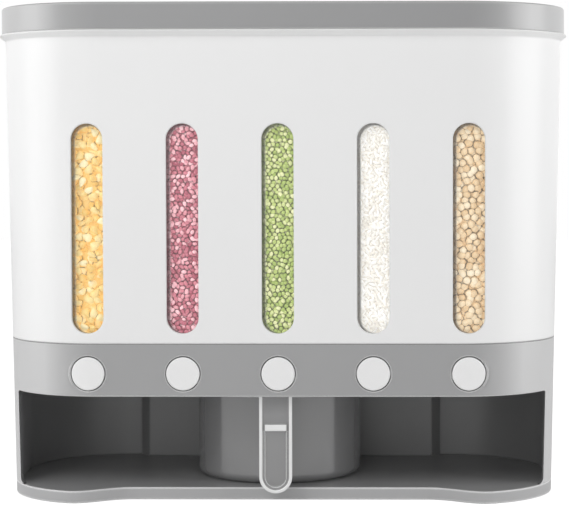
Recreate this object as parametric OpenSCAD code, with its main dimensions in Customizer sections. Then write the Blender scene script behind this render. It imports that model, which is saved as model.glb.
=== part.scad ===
// Wall container for dry food: five upright cells behind sight windows, a press button
// with a spring-loaded slide gate under each cell, and an open tray with a measuring cup.
// X runs across the front, Y from the front to the wall, Z up. The origin is at the
// middle of the base, on the plane that it stands on.

/* [Outline] */
// Width of the base at its foot
base_w = 381.6; // [360:0.1:400]
// Distance from the origin to the front of the foot
front_foot = 77; // [74:0.1:84]
// Distance from the origin to the flat back
back_reach = 86; // [84:0.5:92]
// Corner radius of the outline at the foot
corner_foot_r = 67.5; // [62:0.5:72]
// Lean of the front and sides from the vertical, in degrees
draft_angle = 1.2; // [0.8:0.01:1.4]
// Height of the joint between the grey base and the white body
seam_z = 109.8; // [109:0.1:114]
// Height of the top rim of the white body
rim_z = 322.5; // [300:0.1:345]
// Number of cells, windows, buttons and gates
cells = 5; // [5]
// Distance between two neighbouring cells
cell_pitch = 64.7; // [63:0.1:66]

/* [Body shell] */
// Wall of the white body
shell_wall = 2.6; // [2:0.1:3]
// How far the rim's flange stands out from the wall
bead_out = 4.2; // [3:0.1:5]
// Height over which the flange flares out of the wall
bead_h = 4; // [3:0.1:5]
// Depth of the rebate in the rim that carries the cell bin
rebate_h = 2.2; // [1.8:0.1:3]
// Wall left outside that rebate
rebate_wall = 1.4; // [1.2:0.1:1.6]

/* [Windows] */
// Width of a window opening
window_w = 21.7; // [18:0.1:24]
// Height of the lower end of the windows
window_low_z = 116.7; // [115:0.1:127]
// Height of the upper end of the windows
window_high_z = 259.2; // [222:0.1:282]
// Depth of the pane's face behind the face of the body
pane_recess = 1.5; // [1:0.1:2]
// Thickness of the flange behind the opening
pane_flange_t = 1.8; // [1.4:0.1:2]
// How far the flange reaches past the opening
pane_flange_w = 3.4; // [2:0.1:4.5]
// Gap around the pane in its opening
pane_gap = 0.2; // [0.1:0.05:0.4]

/* [Cell bin] */
// Wall of the bin
bin_wall = 1.8; // [1.5:0.1:2]
// Gap between the bin and the pane flanges
bin_gap = 0.4; // [0.2:0.05:0.6]
// Height at which the outer cells start to funnel in
funnel_top_z = 162; // [152:1:182]
// Height at which the partitions between cells end and the funnels part
part_low_z = 130; // [126:1:142]
// Height of the funnel floor at the front wall
funnel_front_z = 115.5; // [114:0.5:118]
// Height of the top of the outlet neck
neck_z = 99; // [98:0.5:101]
// Width of the rim flange on the inside of the bin wall
bin_lip = 2.6; // [1.5:0.1:3]

/* [Outlets and gates] */
// Width of an outlet, across the container
outlet_w = 30; // [26:0.5:34]
// Length of an outlet, from front to back
outlet_len = 13; // [9:0.5:14]
// Distance of the outlet's middle in front of the origin
outlet_front = 22; // [18:0.5:24]
// Travel of a button and its gate
travel = 15; // [11:0.5:16]
// Thickness of a gate
gate_t = 2.8; // [2.2:0.1:3]
// Width of a gate
gate_w = 38; // [36:0.5:42]
// How far a gate reaches past its hole and past the outlet
gate_margin = 4; // [3.5:0.1:5]
// Running gap above, below and beside a gate
gate_gap = 0.2; // [0.15:0.05:0.3]
// Thickness of the deck plate
deck_t = 2.6; // [2:0.1:3]
// Lowest point of the chutes under the deck
chute_low_z = 76.5; // [74.5:0.5:80]
// Wall of the chutes
chute_wall = 1.6; // [1.2:0.1:2]

/* [Buttons] */
// Height of the button centres
button_z = 89.3; // [88.5:0.1:90.5]
// Radius of a button
button_r = 11.35; // [10:0.05:11.6]
// Radius of the hole around a button
button_hole_r = 12; // [11.9:0.05:12.5]
// Length of a button
button_len = 18; // [17:0.5:19]
// How far a button stands out of the front
button_proud = 0.7; // [0:0.1:1.5]
// Wall of the hollow button cap
button_wall = 1.6; // [1.2:0.1:2]
// Outer radius of a return spring
spring_r = 4.2; // [3.6:0.1:4.6]
// Wire diameter of a return spring
spring_wire = 0.9; // [0.7:0.05:1]
// Turns of a return spring
spring_turns = 8; // [6:1:9]
// Length of a return spring at rest
spring_len = 32; // [30:0.5:34]

/* [Base] */
// Wall of the grey base
base_wall = 3.4; // [2.8:0.1:4]
// Height of the tray floor, which is also the height of its front lip
floor_z = 8.4; // [6:0.1:10]
// Height of the lower edge of the button band
band_z = 73.7; // [73:0.1:75]
// Skin of the tray floor over the hollow underside
floor_skin = 2.6; // [2:0.1:3]
// Distance from the side of the outline to the side of the tray opening
mouth_side = 8.2; // [6:0.1:10]
// Depth of the finger recess in the middle of the lip
lip_recess = 18.5; // [12:0.5:20]
// Half width of the straight middle of that recess
lip_flat = 102; // [96:1:108]
// Half width of the whole recess, where its S-curves end
lip_end = 148; // [140:1:152]
// Half width of the raised middle panel of the tray's back
panel_half_w = 107.5; // [95:0.5:110]
// How far that panel stands forward, and how wide its slanted flanks are
panel_step = 7; // [4:0.5:8]

/* [Lid] */
// Height of the lid
lid_h = 18.6; // [17:0.1:20]
// How far the lid reaches out past the top of the body
lid_over = 2.4; // [1.5:0.1:3]
// Radius of the lid's upper edge
lid_edge_r = 1.6; // [1:0.1:1.9]
// Thickness of the lid's top
lid_top_t = 2; // [1.6:0.1:2.2]
// Thickness of the lid's skirt
lid_wall = 2.2; // [1.8:0.1:2.6]
// Gap between the lid and the body
lid_gap = 0.2; // [0.1:0.05:0.4]
// Distance of each hinge from the middle
hinge_x = 108; // [80:1:115]
// Radius of the hinge knuckles
knuckle_r = 3.4; // [3:0.1:3.5]
// Radius of the hinge pins
pin_r = 1.6; // [1.2:0.05:1.8]
// Width of the hinge ear on the body
ear_w = 10; // [8:0.5:14]
// Width of each hinge knuckle in the lid
knuckle_w = 4; // [3:0.5:5]
// Height of the gasket
seal_h = 2; // [1.5:0.1:2.4]
// Width of the gasket
seal_w = 3; // [2:0.1:3.2]

/* [Measuring cup] */
// Outer radius of the cup
cup_r = 58.7; // [52:0.1:60]
// Wall of the cup
cup_wall = 1.8; // [1.4:0.1:2.4]
// Radius of the cup's bottom edge
cup_edge_r = 6; // [4:0.5:9]
// Height of the cup's rim above the base plane
cup_rim_z = 71.5; // [60:0.5:72]
// Distance of the cup's axis behind the origin
cup_y = 10; // [8:0.5:12]
// Distance of the cup's axis to the left of the middle
cup_left = 4.2; // [0:0.1:8]
// Turn of the cup about its axis, in degrees
cup_turn = 1.4; // [-3:0.1:3]
// Gap between the cup and the tray floor
cup_gap = 0.1; // [0.05:0.05:0.3]
// Width of the handle's tongue
tongue_w = 22.5; // [18:0.1:26]
// Thickness of the tongue
tongue_t = 6; // [4.5:0.1:7]
// Distance of the tongue's face in front of the cup's axis
tongue_reach = 82.5; // [80:0.5:84]
// Height of the tongue's tip above the base plane
tongue_low_z = 6.7; // [3:0.1:8]
// Height of the top of the handle
tongue_top_z = 73; // [72:0.1:73.2]
// Width of the raised rim around the tongue's face
tongue_rim = 2.2; // [1.5:0.1:3]
// Depth of the tongue's face inside its rim
tongue_sink = 1.6; // [0.8:0.1:2]
// Height of the lower edge of the crossbar
bar_z = 49.4; // [40:0.1:54]
// Height of the crossbar itself
bar_h = 4.4; // [3:0.1:6]
// Half width of the crossbar
bar_half_w = 7.4; // [6:0.1:8]
// Half width of the arm that joins the tongue to the cup
arm_half_w = 8; // [6:0.5:9]
// Height of the underside of that arm, at its ends
arm_z = 58; // [56:0.5:62]

/* [Wall mounting] */
// Width of the wall bracket
bracket_w = 190; // [170:1:220]
// Height of the wall bracket
bracket_h = 46; // [40:1:60]
// Thickness of the wall bracket and of the pads that match it
bracket_t = 2; // [1.6:0.1:3]
// Height of the middle of the wall bracket
bracket_z = 250; // [230:1:270]
// Radius of the screw holes in the bracket
wall_hole_r = 2.4; // [2:0.1:3]
// Distance between the holes across the wall
wall_hole_dx = 166; // [150:1:190]
// Distance between the holes up the wall
wall_hole_dz = 26; // [20:1:36]
// Distance of each hook from the middle
hook_x = 55; // [40:1:65]
// Width of a hook
hook_w = 18; // [14:0.5:24]
// Radius of the wall pads
pad_r = 7; // [5:0.5:7]
// Radius of the stems that hold the pads
pad_stem_r = 3; // [2:0.1:4]

/* [Hidden] */

white_colour = [0.93, 0.93, 0.93];
grey_colour = [0.42, 0.42, 0.43];
dark_colour = [0.36, 0.36, 0.37];
clear_colour = [0.8, 0.84, 0.86];
smoke_colour = [0.3, 0.3, 0.31];
steel_colour = [0.7, 0.71, 0.73];

// One overrun for every cut that passes a face
over = 1;
slope = tan(draft_angle);
// Centres of the four outline corners
corner_x = base_w / 2 - corner_foot_r;
front_corner_y = corner_foot_r - front_foot;
back_corner_y = back_reach - corner_foot_r;
// Fineness of large and of small round shapes
large_fn = 144;
small_fn = 48;
arc_steps = 6;

// Sizes of the outline at a height, set in from the outer face
function half_w(z, inset) = base_w / 2 + z * slope - inset;
function front_y(z, inset) = inset - front_foot - z * slope;
function corner_r(z, inset) = corner_foot_r + z * slope - inset;
// Place of cell i, counted from 0 at the left
function cell_x(i) = (i - (cells - 1) / 2) * cell_pitch;

// Extrudes a drawing in X and Z along Y
module along_y(y0, y1) {
    translate([0, y1, 0])
        rotate([90, 0, 0])
            linear_extrude(height = y1 - y0)
                children();
}

// Extrudes a drawing in Y and Z along X
module along_x(x0, x1) {
    translate([x0, 0, 0])
        rotate([90, 0, 90])
            linear_extrude(height = x1 - x0)
                children();
}

module box(low, high) {
    translate(low)
        cube(high - low);
}

// Everything in front of a plane that faces the wall
module front_of(y, z0, z1) {
    reach = base_w;
    box([-reach, -reach, z0], [reach, y, z1]);
}

// A quarter turn of a profile at each corner of the outline
module at_corners() {
    for (k = [0 : 3])
        translate([(k == 0 || k == 3 ? 1 : -1) * corner_x, k < 2 ? back_corner_y : front_corner_y, 0])
            rotate([0, 0, 90 * k])
                rotate_extrude(angle = 90, $fn = large_fn)
                    children();
}

// The outline as a solid whose front and sides lean out and whose back is flat
module drafted(inset, z0, z1) {
    intersection() {
        union() {
            at_corners()
                polygon([[0, z0], [corner_r(z0, inset), z0], [corner_r(z1, inset), z1], [0, z1]]);
            along_y(front_corner_y, back_corner_y)
                polygon([
                    [-half_w(z0, inset), z0],
                    [half_w(z0, inset), z0],
                    [half_w(z1, inset), z1],
                    [-half_w(z1, inset), z1],
                ]);
            along_x(-corner_x, corner_x)
                polygon([
                    [front_y(z0, inset), z0],
                    [back_reach - inset, z0],
                    [back_reach - inset, z1],
                    [front_y(z1, inset), z1],
                ]);
        }
        front_of(back_reach - inset, z0, z1);
    }
}

// The outline at one height, as an upright solid
module upright(z, inset, z0, z1) {
    intersection() {
        union() {
            at_corners()
                translate([0, z0])
                    square([corner_r(z, inset), z1 - z0]);
            box([-half_w(z, inset), front_corner_y, z0], [half_w(z, inset), back_corner_y, z1]);
            box([-corner_x, front_y(z, inset), z0], [corner_x, back_reach - inset, z1]);
        }
        front_of(back_reach - inset, z0, z1);
    }
}

// Sweeps a profile, drawn outwards from the outline and up, round the front and sides
module along_outline(z, z0, z1) {
    intersection() {
        union() {
            at_corners()
                translate([corner_r(z, 0), 0])
                    children();
            along_y(front_corner_y, back_corner_y) {
                translate([half_w(z, 0), 0])
                    children();
                mirror([1, 0])
                    translate([half_w(z, 0), 0])
                        children();
            }
            along_x(-corner_x, corner_x)
                translate([front_y(z, 0), 0])
                    mirror([1, 0])
                        children();
        }
        front_of(back_reach, z0, z1);
    }
}

// A slot with round ends, drawn in X and Z
module stadium(width, z0, z1, grow) {
    r = width / 2 + grow;
    translate([-r, z0 + width / 2])
        square([2 * r, z1 - z0 - width]);
    for (z = [z0 + width / 2, z1 - width / 2])
        translate([0, z])
            circle(r = r, $fn = small_fn);
}

// A drawing in X and Z pushed back from the front of cell i, as far as the corner centres
module front_column(i, y1) {
    translate([cell_x(i), 0, 0])
        along_y(-base_w, y1)
            children();
}

// Body shell: the white casing
rim_inner_z = rim_z - rebate_h;
boss_r = 5.6;
boss_bore_r = 1.6;
boss_h = 14;
boss_set = 5.2;
boss_angle = 30;
boss_reach = corner_foot_r - boss_set;
boss_places = [
    for (s = [-1, 1], end = [0, 1])
        [
            s * (corner_x + boss_reach * cos(boss_angle)),
            end == 0
                ? front_corner_y - boss_reach * sin(boss_angle)
                : back_corner_y + boss_reach * sin(boss_angle)
        ]
];
lid_z = rim_z + lid_gap;
lid_top_z = lid_z + lid_h;
hinge_z = lid_top_z - lid_top_t - lid_gap - lid_gap - knuckle_r;
// The lid's rolled rear edge is centred on its hinge
roll_r = lid_top_z - hinge_z;
hinge_y = back_reach - roll_r;
// The foot of a hinge ear ends below the swing of the lid's rear edge
ear_foot_z = hinge_z - roll_r - lid_gap;
bore_gap = 0.05;
hook_t = 1.4;
hook_tab_h = 4;
hook_up = 6;
hook_gap = 0.2;
hook_low_z = bracket_z + hook_up;
slot_room = 0.8;

module boss_column(z0, z1, r) {
    for (place = boss_places)
        translate([place[0], place[1], z0])
            cylinder(h = z1 - z0, r = r, $fn = small_fn);
}

module hinge_axis(x0, x1, r) {
    translate([x0, hinge_y, hinge_z])
        rotate([0, 90, 0])
            cylinder(h = x1 - x0, r = r, $fn = small_fn);
}

module body_shell() {
    color(white_colour)
    difference() {
        union() {
            difference() {
                casing_block();
                drafted(shell_wall, seam_z, rim_inner_z);
                drafted(rebate_wall, rim_inner_z, rim_z + over);
            }
            shell_bosses();
            hinge_ears();
        }
        for (i = [0 : cells - 1])
            front_column(i, front_corner_y)
                stadium(window_w, window_low_z, window_high_z, 0);
        boss_column(seam_z - over, seam_z + boss_h - boss_bore_r, boss_bore_r);
        for (s = [-1, 1])
            hinge_axis(s * hinge_x - ear_w, s * hinge_x + ear_w, pin_r + bore_gap);
        hook_slots();
    }
}

// The casing as a block, with a flange that flares out at its rim
bead_edge = 0.5;
bead_root = rebate_wall / 2;

module casing_block() {
    drafted(0, seam_z, rim_z);
    along_outline(rim_z, rim_z - bead_h - bead_root, rim_z)
        polygon([
            [-bead_root, rim_z],
            [bead_out - bead_edge, rim_z],
            [bead_out, rim_z - bead_edge],
            [bead_out, rim_z - bead_edge - bead_edge],
            [-bead_root, rim_z - bead_h - bead_root],
        ]);
}

module shell_bosses() {
    intersection() {
        boss_column(seam_z, seam_z + boss_h, boss_r);
        drafted(shell_wall / 2, seam_z, seam_z + boss_h);
    }
}

module hinge_ears() {
    for (s = [-1, 1]) {
        hinge_axis(s * hinge_x - ear_w / 2, s * hinge_x + ear_w / 2, knuckle_r);
        box(
            [s * hinge_x - ear_w / 2, hinge_y, rim_z],
            [s * hinge_x + ear_w / 2, hinge_y + knuckle_r, hinge_z]
        );
        box(
            [s * hinge_x - ear_w / 2, hinge_y, rim_z],
            [s * hinge_x + ear_w / 2, back_reach - hook_gap, ear_foot_z]
        );
        box(
            [s * hinge_x - ear_w / 2, back_reach - rebate_wall, rim_inner_z],
            [s * hinge_x + ear_w / 2, back_reach - hook_gap, ear_foot_z]
        );
    }
}

module hook_slots() {
    for (s = [-1, 1])
        box(
            [s * hook_x - hook_w / 2 - slot_room, back_reach - shell_wall - over, hook_low_z - hook_up - slot_room],
            [s * hook_x + hook_w / 2 + slot_room, back_reach + over, hook_low_z + hook_tab_h + hook_gap]
        );
}

// Windows: clear panes with a flange behind the casing
module window(i) {
    color(clear_colour)
    if (cell_x(i) < 0)
        mirror([1, 0, 0])
            pane(cells - 1 - i);
    else
        pane(i);
}

module pane(i) {
    low = window_low_z - pane_flange_w - over;
    high = window_high_z + pane_flange_w + over;
    back = shell_wall + pane_flange_t;
    intersection() {
        front_column(i, front_corner_y)
            stadium(window_w, window_low_z, window_high_z, -pane_gap);
        difference() {
            drafted(pane_recess, low, high);
            drafted(back, low - over, high + over);
        }
    }
    intersection() {
        front_column(i, front_corner_y)
            stadium(window_w, window_low_z, window_high_z, pane_flange_w);
        difference() {
            drafted(shell_wall, low, high);
            drafted(back, low - over, high + over);
        }
    }
}

// Cell bins: five liners with funnels, side by side
bin_inset = shell_wall + pane_flange_t + bin_gap;
bin_inner = bin_inset + bin_wall;
bin_low_z = button_z + gate_t / 2 + gate_gap;
bin_flange_gap = 0.2;
sight_room = 0.4;
sight_depth = 6;
outlet_y = -outlet_front;
// Left and right limits of cell i inside the partitions
function cell_left(i) = i == 0 ? -half_w(rim_z, bin_inner) - over : cell_x(i) - (cell_pitch - bin_wall) / 2;
function cell_right(i) = -cell_left(cells - 1 - i);

// The funnel of cell i, grown by a wall, as the part common to two extrusions
module funnel(i, grow, top_z) {
    edge_z = neck_z - grow;
    left_z = i == 0 ? funnel_top_z : part_low_z;
    right_z = i == cells - 1 ? funnel_top_z : part_low_z;
    left = cell_left(i) - grow;
    right = cell_right(i) + grow;
    half_out = outlet_w / 2 + grow;
    half_len = outlet_len / 2 + grow;
    front = front_y(rim_z, bin_inner) - grow - over;
    back = back_reach - bin_inner + grow + over;
    intersection() {
        along_y(front - over, back + over)
            polygon([
                [left, top_z],
                [left, left_z],
                [cell_x(i) - half_out, neck_z],
                [cell_x(i) - half_out, bin_low_z],
                [cell_x(i) + half_out, bin_low_z],
                [cell_x(i) + half_out, neck_z],
                [right, right_z],
                [right, top_z],
            ]);
        along_x(left - over, right + over)
            polygon([
                [front, top_z],
                [front, funnel_front_z - grow],
                [outlet_y - half_len, edge_z],
                [outlet_y - half_len, bin_low_z],
                [outlet_y + half_len, bin_low_z],
                [outlet_y + half_len, edge_z],
                [back, funnel_top_z - grow],
                [back, top_z],
            ]);
    }
}

module cell_bin(i) {
    color(white_colour)
    difference() {
        union() {
            intersection() {
                drafted(bin_inset, bin_low_z, rim_z - bin_flange_gap);
                funnel(i, bin_wall, rim_z);
                cell_slice(i);
            }
            intersection() {
                upright(rim_z, rebate_wall + bin_flange_gap, rim_inner_z + bin_flange_gap, rim_z - bin_flange_gap);
                cell_slice(i);
            }
        }
        cell_space(i);
        front_column(i, front_y(window_low_z, bin_inner) + sight_depth)
            stadium(window_w, window_low_z, window_high_z, sight_room);
    }
}

// Everything between the middle planes of the partitions of cell i
module cell_slice(i) {
    left = i == 0 ? -base_w : cell_x(i) - cell_pitch / 2;
    right = i == cells - 1 ? base_w : cell_x(i) + cell_pitch / 2;
    box([left, -base_w, 0], [right, base_w, rim_z + over]);
}

// The room inside cell i, closed in at the top by the inward lip of the rim
module cell_space(i) {
    lip_z = rim_inner_z + bin_flange_gap;
    intersection() {
        drafted(bin_inner, bin_low_z - over, lip_z);
        funnel(i, 0, rim_z);
    }
    intersection() {
        drafted(bin_inner + bin_lip, lip_z - over, rim_z + over);
        box([cell_left(i), -base_w, lip_z - over], [cell_right(i), base_w, rim_z + over]);
    }
    box(
        [cell_x(i) - outlet_w / 2, outlet_y - outlet_len / 2, bin_low_z - over],
        [cell_x(i) + outlet_w / 2, outlet_y + outlet_len / 2, neck_z]
    );
}

// Slide deck: the plate under the cells that carries and guides the gates
deck_top_z = button_z - gate_t / 2 - gate_gap;
deck_low_z = deck_top_z - deck_t;
deck_edge_gap = 0.4;
deck_notch_y = -outlet_front - outlet_len / 2 - travel;
rail_t = 2;
rail_h = gate_t + gate_gap - bin_flange_gap;
gate_back_y = -outlet_front + outlet_len / 2 + gate_margin + travel;
rear_tab_t = 2;
spring_z = deck_top_z + spring_r + spring_wire + gate_gap;
stop_y = gate_back_y - travel + rear_tab_t + spring_len;
stop_h = spring_z + spring_r - deck_top_z;
stop_t = 2.4;
spigot_r = 2.6;
spigot_len = 4.5;
ledge_w = 4;
ledge_t = 2.4;

module slide_deck() {
    color(white_colour)
    difference() {
        union() {
            upright(deck_low_z, base_wall + deck_edge_gap, deck_low_z, deck_top_z);
            for (i = [0 : cells - 1]) {
                chute(i, chute_wall, chute_low_z, deck_low_z + deck_t / 2);
                gate_guides(i);
            }
        }
        for (i = [0 : cells - 1]) {
            chute(i, 0, chute_low_z - over, deck_top_z + over);
            box(
                [cell_x(i) - button_hole_r - button_wall - deck_edge_gap, -base_w, deck_low_z - over],
                [cell_x(i) + button_hole_r + button_wall + deck_edge_gap, deck_notch_y, deck_top_z + over]
            );
        }
        boss_column(deck_low_z - over, deck_top_z + over, boss_r + deck_edge_gap);
    }
}

module chute(i, grow, z0, z1) {
    box(
        [cell_x(i) - outlet_w / 2 - grow, outlet_y - outlet_len / 2 - grow, z0],
        [cell_x(i) + outlet_w / 2 + grow, outlet_y + outlet_len / 2 + grow, z1]
    );
}

// Two rails beside the gate, and the stop that the spring pushes against
module gate_guides(i) {
    rail_x = gate_w / 2 + gate_gap;
    for (s = [-1, 1])
        box(
            [cell_x(i) + s * (rail_x + rail_t / 2) - rail_t / 2, deck_notch_y, deck_top_z - over],
            [cell_x(i) + s * (rail_x + rail_t / 2) + rail_t / 2, gate_back_y, deck_top_z + rail_h]
        );
    box(
        [cell_x(i) - spring_r - stop_t, stop_y, deck_top_z - over],
        [cell_x(i) + spring_r + stop_t, stop_y + stop_t, deck_top_z + stop_h]
    );
    translate([cell_x(i), stop_y, spring_z])
        rotate([90, 0, 0])
            cylinder(h = spigot_len, r = spigot_r, $fn = small_fn);
}

// Buttons and gates: a gate slides back with its button until its hole is under the cell
button_front_y = front_y(button_z, 0) - button_proud;
button_back_y = button_front_y + button_len;
stem_r = 3.4;
button_face_t = 4.4;
tongue_half_w = 6;
gate_hole_y = outlet_y - travel;
tab_half_w = 8;

module button(i) {
    color(white_colour)
    intersection() {
        button_cap(i);
        drafted(-button_proud, button_z - button_r - over, button_z + button_r + over);
    }
}

module button_cap(i) {
    lead = button_wall;
    translate([cell_x(i), button_front_y, button_z])
        rotate([-90, 0, 0])
            difference() {
                translate([0, 0, -lead])
                    cylinder(h = button_len + lead, r = button_r, $fn = small_fn);
                difference() {
                    translate([0, 0, button_face_t])
                        cylinder(h = button_len, r = button_r - button_wall, $fn = small_fn);
                    cylinder(h = button_len, r = stem_r, $fn = small_fn);
                    translate([0, 0, button_len / 2])
                        cube([2 * button_r, button_wall, button_len], center = true);
                }
            }
}

module gate(i) {
    low = button_z - gate_t / 2;
    high = button_z + gate_t / 2;
    tab_y = gate_back_y - travel;
    gate_front_y = deck_notch_y - gate_margin;
    color(grey_colour) {
        difference() {
            union() {
                box([cell_x(i) - gate_w / 2, gate_front_y, low], [cell_x(i) + gate_w / 2, tab_y, high]);
                box([cell_x(i) - tongue_half_w, button_back_y, low], [cell_x(i) + tongue_half_w, deck_notch_y, high]);
                box(
                    [cell_x(i) - tab_half_w, tab_y, low],
                    [cell_x(i) + tab_half_w, tab_y + rear_tab_t, spring_z + spring_r]
                );
                translate([cell_x(i), tab_y + rear_tab_t, spring_z])
                    rotate([-90, 0, 0])
                        cylinder(h = spigot_len, r = spigot_r, $fn = small_fn);
            }
            box(
                [cell_x(i) - outlet_w / 2, gate_hole_y - outlet_len / 2, low - over],
                [cell_x(i) + outlet_w / 2, gate_hole_y + outlet_len / 2, high + over]
            );
        }
    }
}

// Springs: one wire swept along a helix
spring_ring = 6;
spring_steps = 8;
spring_mid_r = spring_r - spring_wire / 2;

spring_count = spring_turns * spring_steps;
spring_rise = (spring_len - spring_wire) / spring_count;
// Point j of ring k round the wire
function spring_point(k, j) =
    let (turn = 360 * k / spring_steps, around = 360 * j / spring_ring,
         r = spring_mid_r + spring_wire / 2 * cos(around))
    [r * cos(turn), r * sin(turn), spring_wire / 2 + k * spring_rise + spring_wire / 2 * sin(around)];
// Least distance between the wire's points and those a whole turn further on
spring_least_gap = min([
    for (j = [0 : spring_ring - 1], m = [0 : spring_ring - 1], k = [-1 : 1])
        norm(spring_point(0, j) - spring_point(spring_steps + k, m))
]);
echo(spring_least_gap = spring_least_gap);

module spring(i) {
    count = spring_count;
    points = [for (k = [0 : count], j = [0 : spring_ring - 1]) spring_point(k, j)];
    sides = [
        for (k = [0 : count - 1], j = [0 : spring_ring - 1], half = [0, 1])
            let (a = k * spring_ring + j, b = k * spring_ring + (j + 1) % spring_ring)
            half == 0 ? [a, b, b + spring_ring] : [a, b + spring_ring, a + spring_ring]
    ];
    ends = [
        for (j = [1 : spring_ring - 2], end = [0, 1])
            end == 0 ? [0, j + 1, j] : [count * spring_ring, count * spring_ring + j, count * spring_ring + j + 1]
    ];
    color(steel_colour)
    translate([cell_x(i), gate_back_y - travel + rear_tab_t, spring_z])
        rotate([-90, 0, 0])
            polyhedron(points = points, faces = concat(sides, ends));
}

// Base housing: the grey base with the button band and the walls of the tray
sleeve_len = 14;
pocket_edge = 3;
rib_t = 1.8;
rib_count = 7;
mouth_low_r = 4;
mouth_high_r = 1.6;
tongue_ring_t = 1.4;
tongue_ring_h = 3;
panel_top_z = deck_low_z - ledge_t;

// Front edge of the lip: straight in the middle, with S-curves that run out into the outline
lip_steps = 20;
lip_lead = 0.3;
function foot_y(x) =
    -(abs(x) > corner_x ? sqrt(pow(corner_foot_r, 2) - pow(abs(x) - corner_x, 2)) - front_corner_y : front_foot);
function lip_share(x) =
    abs(x) < lip_flat ? 1 : (1 + cos(180 * (abs(x) - lip_flat) / (lip_end - lip_flat))) / 2;
function lip_y(x, grow) =
    grow + (lip_recess - front_foot) * lip_share(x) + (foot_y(x) - lip_lead) * (1 - lip_share(x));

module lip_cut(grow, z0, z1) {
    left = [for (k = [0 : lip_steps]) -lip_end + (lip_end - lip_flat) * k / lip_steps];
    right = [for (k = [lip_steps : -1 : 0]) -left[k]];
    far = lip_end + grow;
    translate([0, 0, z0])
        linear_extrude(height = z1 - z0)
            polygon(concat(
                [[far, -base_w], [-far, -base_w]],
                [[-far, lip_y(lip_end, grow)]],
                [for (x = left) [x, lip_y(x, grow)]],
                [for (x = right) [x, lip_y(x, grow)]],
                [[far, lip_y(lip_end, grow)]]
            ));
}

// Points of an arc, for outlines with round corners
function arc(centre, r, from, to) = [
    for (k = [0 : arc_steps])
        let (angle = from + (to - from) * k / arc_steps)
        centre + r * [cos(angle), sin(angle)]
];

// The tray's mouth, drawn in X and Z with sides that lean as the outline does
module mouth() {
    low = half_w(floor_z, mouth_side);
    high = half_w(band_z, mouth_side);
    along_y(-base_w, front_corner_y)
        polygon(concat(
            [[mouth_low_r - low, floor_z - over], [low - mouth_low_r, floor_z - over]],
            arc([low - mouth_low_r, floor_z + mouth_low_r], mouth_low_r, -90, 0),
            arc([high - mouth_high_r, band_z - mouth_high_r], mouth_high_r, 0, 90),
            arc([mouth_high_r - high, band_z - mouth_high_r], mouth_high_r, 90, 180),
            arc([mouth_low_r - low, floor_z + mouth_low_r], mouth_low_r, 180, 270)
        ));
}

// The raised middle panel of the back, or the room behind it
module back_panel(set, z0, z1) {
    near = back_reach - base_wall - panel_step + set;
    wide = panel_half_w - set / 2;
    far = back_reach - base_wall + set;
    translate([0, 0, z0])
        linear_extrude(height = z1 - z0)
            polygon([
                [-wide, near],
                [wide, near],
                [wide + far - near, far],
                [-wide - far + near, far],
            ]);
}

module base_housing() {
    color(grey_colour)
    difference() {
        union() {
            difference() {
                drafted(0, floor_z, seam_z);
                upright(0, base_wall, floor_z - over, wall_step_z);
                drafted(base_wall, wall_step_z, seam_z + over);
                mouth();
            }
            deck_ledge();
            back_panel(0, floor_z, panel_top_z);
            locating_ring();
            button_sleeves();
            base_columns();
        }
        back_panel(base_wall, floor_z - over, panel_top_z - base_wall);
        for (i = [0 : cells - 1])
            translate([cell_x(i), front_y(0, over), button_z])
                rotate([90, 0, 0])
                    cylinder(h = base_w, r = button_hole_r, $fn = small_fn);
        for (i = [0 : cells - 1])
            translate([cell_x(i), button_back_y + over, button_z])
                rotate([90, 0, 0])
                    cylinder(h = button_len + base_wall, r = button_hole_r, $fn = small_fn);
        boss_column(deck_low_z - ledge_t - over, seam_z + over, boss_bore_r + bore_gap);
        pad_pair(back_reach - pad_stem_len - over / 4, back_reach + over, pad_stem_r + bore_gap);
    }
}

// A narrow ledge inside the wall that carries the deck
module deck_ledge() {
    difference() {
        upright(deck_low_z, base_wall / 2, deck_low_z - ledge_t, deck_low_z);
        upright(deck_low_z, base_wall + ledge_w, deck_low_z - ledge_t - over, deck_low_z + over);
    }
}

// A lip that stands up inside the white body and lines it up
module locating_ring() {
    outer = shell_wall + pane_gap;
    difference() {
        drafted(outer, seam_z - tongue_ring_h, seam_z + tongue_ring_h);
        drafted(outer + tongue_ring_t, seam_z - tongue_ring_h - over, seam_z + tongue_ring_h + over);
        boss_column(seam_z, seam_z + tongue_ring_h + over, boss_r + deck_edge_gap);
    }
}

module button_sleeves() {
    for (i = [0 : cells - 1])
        translate([cell_x(i), front_y(button_z, base_wall / 2) + sleeve_len, button_z])
            rotate([90, 0, 0])
                cylinder(h = sleeve_len, r = button_hole_r + button_wall, $fn = small_fn);
}

module base_columns() {
    intersection() {
        boss_column(deck_low_z - ledge_t, seam_z, boss_r);
        drafted(base_wall / 2, 0, seam_z);
    }
}

// Tray floor: the foot plate with the lip and its finger recess
module tray_floor() {
    color(grey_colour)
    difference() {
        drafted(0, 0, floor_z);
        lip_cut(0, -over, floor_z + over);
        underside();
    }
}

// The hollow under the tray floor, with ribs left standing in it
module underside() {
    pitch = base_w / (rib_count + 1);
    difference() {
        drafted(pocket_edge, -over, floor_z - floor_skin);
        lip_cut(pocket_edge, -over - over, floor_z);
        for (k = [1 : rib_count])
            box([k * pitch - base_w / 2 - rib_t / 2, -base_w, -over], [k * pitch - base_w / 2 + rib_t / 2, base_w, floor_z]);
        box([-base_w, -rib_t / 2, -over], [base_w, rib_t / 2, floor_z]);
    }
}

// Lid: a shallow cap, hinged at the back, with a rib that carries the gasket
seal_inset = 6;
rib_set = (seal_w - lid_wall) / 2;
relief_h = 2.4;
notch_gap = 0.4;

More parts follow.
